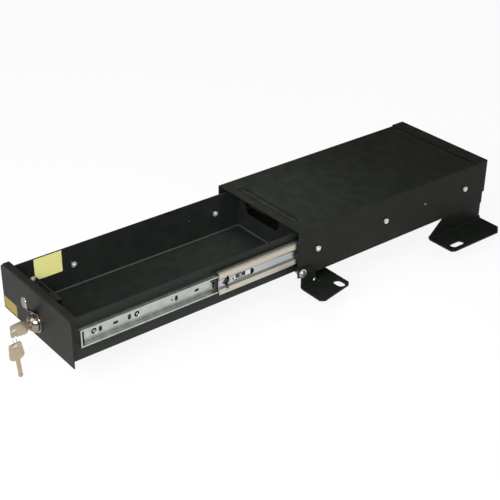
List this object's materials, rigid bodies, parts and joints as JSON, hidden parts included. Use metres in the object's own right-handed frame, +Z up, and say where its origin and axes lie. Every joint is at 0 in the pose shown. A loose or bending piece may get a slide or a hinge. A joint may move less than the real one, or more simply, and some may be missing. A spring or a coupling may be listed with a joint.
{
  "type": "vehicle lockable drawer",
  "caption": "Flat black steel lock box on bracket feet, with a full-extension drawer on ball slides, a cam lock with keys and a finger pull.",
  "frame": {"origin": "middle of the housing's mouth, level with the underside of the housing's floor", "axes": "+Z up, +Y to the housing's back (the drawer closes along +Y), +X to the right seen from the front"},
  "size_m": [0.293, 0.8183, 0.1276],
  "materials": {
    "black": "satin black powder coat",
    "zinc": "zinc-plated",
    "zinc_warm": "zinc-plated, warmer",
    "ball_steel": "bright steel",
    "chrome": "chrome-plated",
    "nickel": "nickel-plated brass",
    "label": "bare yellow adhesive label",
    "rubber": "matte",
    "lever": "moulded plastic"
  },
  "bodies": {
    "housing": {"housing_shell": "black", "housing_floor": "black", "rear_cover": "black", "cover_rivets": "black", "lock_strike": "black", "front_bracket_right": "black", "front_bracket_left": "black", "rear_bracket_right": "black", "rear_bracket_left": "black", "bracket_bolts": "zinc", "bracket_washers": "zinc", "bracket_nuts": "zinc", "bracket_rivets": "black", "slide_outer_right": "zinc", "slide_outer_left": "zinc", "housing_screws": "zinc", "housing_nuts": "zinc"},
    "drawer": {"drawer_tray": "black", "drawer_front": "black", "lock_guard": "black", "slide_inner_right": "zinc", "slide_inner_left": "zinc", "tray_screws": "zinc", "tray_nuts": "zinc", "rear_bumpers": "rubber", "label_tray": "label", "label_front": "label", "lock_cylinder": "chrome", "finger_pull": "chrome", "lock_nut": "zinc"},
    "slide_middles": {"slide_middle_right": "zinc_warm", "slide_middle_left": "zinc_warm"},
    "outer_cages": {"outer_cage_right": "zinc_warm", "outer_cage_left": "zinc_warm", "outer_balls": "ball_steel"},
    "inner_cages": {"inner_cage_right": "zinc_warm", "inner_cage_left": "zinc_warm", "inner_balls": "ball_steel"},
    "right_lever": {"release_lever_right": "lever"},
    "left_lever": {"release_lever_left": "lever"},
    "plug": {"lock_plug": "chrome", "lock_cam": "zinc", "cam_washer": "zinc", "cam_screw": "zinc", "key_in_lock": "nickel"},
    "ring": {"key_ring": "ball_steel"},
    "spare": {"spare_key": "nickel"}
  },
  "joints": [
    {"name": "drawer_slide", "type": "slide", "parent": "housing", "child": "drawer", "axis": [0, 1, 0], "range_m": [0, 0.36]},
    {"name": "middle_slide", "type": "slide", "parent": "housing", "child": "slide_middles", "axis": [0, 1, 0], "range_m": [0, 0.144]},
    {"name": "outer_cage_slide", "type": "slide", "parent": "housing", "child": "outer_cages", "axis": [0, 1, 0], "range_m": [0, 0.072]},
    {"name": "inner_cage_slide", "type": "slide", "parent": "housing", "child": "inner_cages", "axis": [0, 1, 0], "range_m": [0, 0.252]},
    {"name": "lock_turn", "type": "hinge", "parent": "drawer", "child": "plug", "pos_m": [0, -0.37, 0.025], "axis": [0, 1, 0], "range_deg": [0, 90]},
    {"name": "ring_roll", "type": "hinge", "parent": "plug", "child": "ring", "pos_m": [0, -0.4084, 0.025], "axis": [0, 1, 0], "range_deg": [-45, 0]},
    {"name": "spare_roll", "type": "hinge", "parent": "ring", "child": "spare", "pos_m": [0, -0.4084, 0.001], "axis": [0, 1, 0], "range_deg": [-45, 0]},
    {"name": "right_lever_press", "type": "hinge", "parent": "drawer", "child": "right_lever", "pos_m": [0.0862, -0.1, 0.04], "axis": [1, 0, 0], "range_deg": [-3, 3], "stiffness_Nm_per_rad": 0.2},
    {"name": "left_lever_press", "type": "hinge", "parent": "drawer", "child": "left_lever", "pos_m": [-0.0862, -0.1, 0.04], "axis": [1, 0, 0], "range_deg": [-3, 3], "stiffness_Nm_per_rad": 0.2}
  ],
  "couplings": [
    {"joint": "middle_slide", "follows": "drawer_slide", "ratio": 0.4},
    {"joint": "outer_cage_slide", "follows": "drawer_slide", "ratio": 0.2},
    {"joint": "inner_cage_slide", "follows": "drawer_slide", "ratio": 0.7},
    {"joint": "ring_roll", "follows": "lock_turn", "ratio": -0.5},
    {"joint": "spare_roll", "follows": "lock_turn", "ratio": -0.5}
  ]
}
